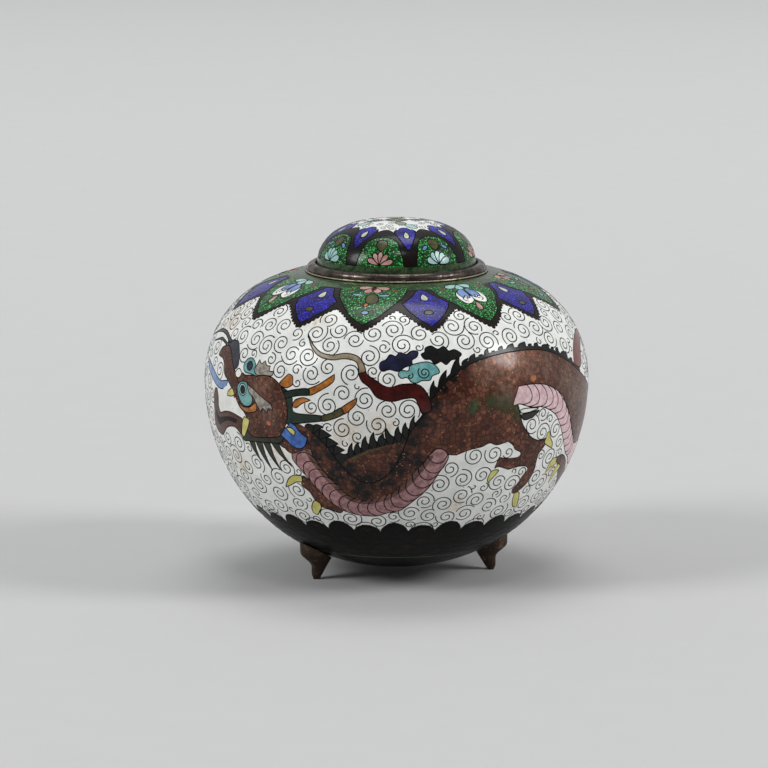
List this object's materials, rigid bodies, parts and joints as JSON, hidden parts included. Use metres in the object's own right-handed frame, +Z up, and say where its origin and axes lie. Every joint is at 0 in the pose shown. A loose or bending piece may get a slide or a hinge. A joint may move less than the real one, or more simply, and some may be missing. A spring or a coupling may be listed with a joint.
{
  "type": "lidded cloisonne enamel box",
  "caption": "Hollow globular cloisonne enamel box with a lift-off domed lid, a copper mouth ring and small cast feet.",
  "frame": {"origin": "on the table under the middle of the body, at the level of the toes", "axes": "+Z up along the axis of the body and lid; -Y is the side that the picture shows"},
  "size_m": [0.125, 0.125, 0.1153],
  "materials": {
    "body_enamel": "polished enamel on copper, with inlaid wires",
    "lid_enamel": "polished enamel on copper, with inlaid wires",
    "ring_copper": "brown patina, worn bright on the edges",
    "foot_copper": "dark brown patina, cast"
  },
  "bodies": {
    "root": {"body_shell": "body_enamel", "mouth_ring": "ring_copper", "lid": "lid_enamel", "foot_left": "foot_copper", "foot_right": "foot_copper", "foot_back": "foot_copper"}
  },
  "joints": []
}
